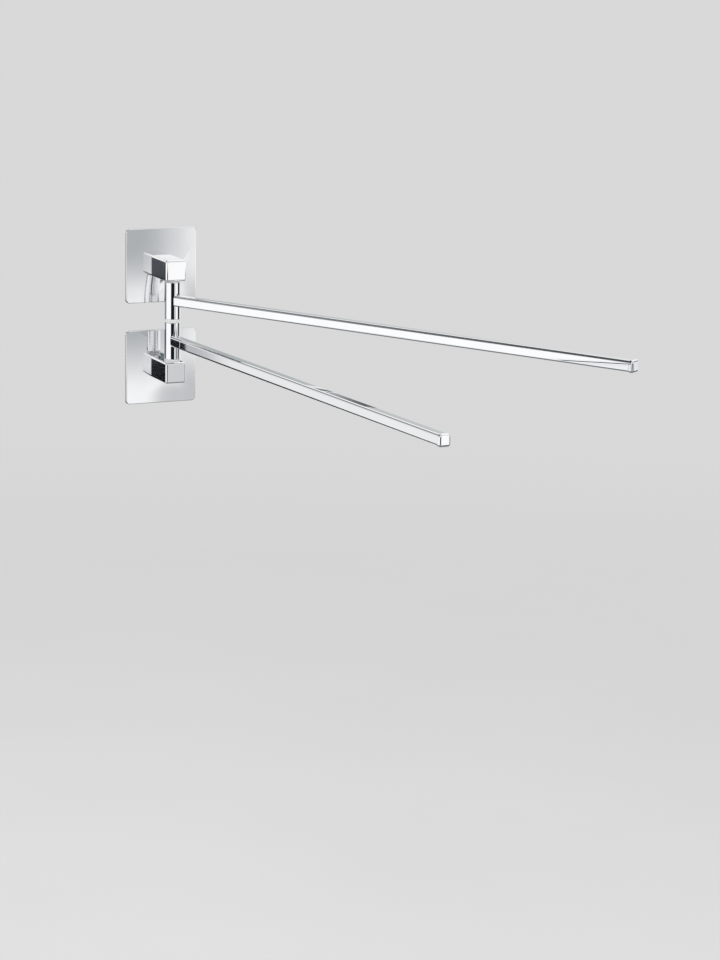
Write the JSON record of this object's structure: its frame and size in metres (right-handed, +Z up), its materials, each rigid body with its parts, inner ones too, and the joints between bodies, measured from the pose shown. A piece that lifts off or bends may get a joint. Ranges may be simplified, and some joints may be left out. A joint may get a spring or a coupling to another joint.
{
  "type": "towel holder",
  "caption": "Wall-mounted towel holder: square chrome plates and posts carry a round swivel column with long square arms, each turning on its own sleeve.",
  "frame": {"origin": "centre of the upper adhesive pad's wall side", "axes": "+Y into the wall, +Z up, +X to the right along the wall; the arms stand out towards -Y"},
  "size_m": [0.2392, 0.4654, 0.1425],
  "materials": {
    "plate_chrome": "polished chrome plating",
    "post_chrome": "polished chrome plating on die-cast zinc",
    "column_chrome": "polished chrome plating",
    "arm_chrome": "polished chrome plating on steel tube",
    "cap_chrome": "chrome plating on moulded plastic",
    "fastener_steel": "zinc-plated steel",
    "bush_plastic": "moulded pale plastic",
    "pad_foam": "matt adhesive foam"
  },
  "bodies": {
    "bracket": {"upper_plate": "plate_chrome", "lower_plate": "plate_chrome", "upper_adhesive_pad": "pad_foam", "lower_adhesive_pad": "pad_foam", "upper_post": "post_chrome", "lower_post": "post_chrome", "upper_post_screws": "fastener_steel", "lower_post_screws": "fastener_steel", "axle": "fastener_steel", "axle_screw": "fastener_steel", "thrust_washer": "bush_plastic"},
    "upper_arm": {"upper_sleeve": "column_chrome", "upper_sleeve_top_bush": "bush_plastic", "upper_sleeve_bottom_bush": "bush_plastic", "upper_arm_tube": "arm_chrome", "upper_end_cap": "cap_chrome"},
    "lower_arm": {"lower_sleeve": "column_chrome", "lower_sleeve_top_bush": "bush_plastic", "lower_sleeve_bottom_bush": "bush_plastic", "lower_arm_tube": "arm_chrome", "lower_end_cap": "cap_chrome"}
  },
  "joints": [
    {"name": "upper_arm_swivel", "type": "hinge", "parent": "bracket", "child": "upper_arm", "pos_m": [0, -0.0283, -0.02476], "axis": [0, 0, 1], "range_deg": [-118, 62]},
    {"name": "lower_arm_swivel", "type": "hinge", "parent": "bracket", "child": "lower_arm", "pos_m": [0, -0.0283, -0.05714], "axis": [0, 0, 1], "range_deg": [-94, 86]}
  ]
}
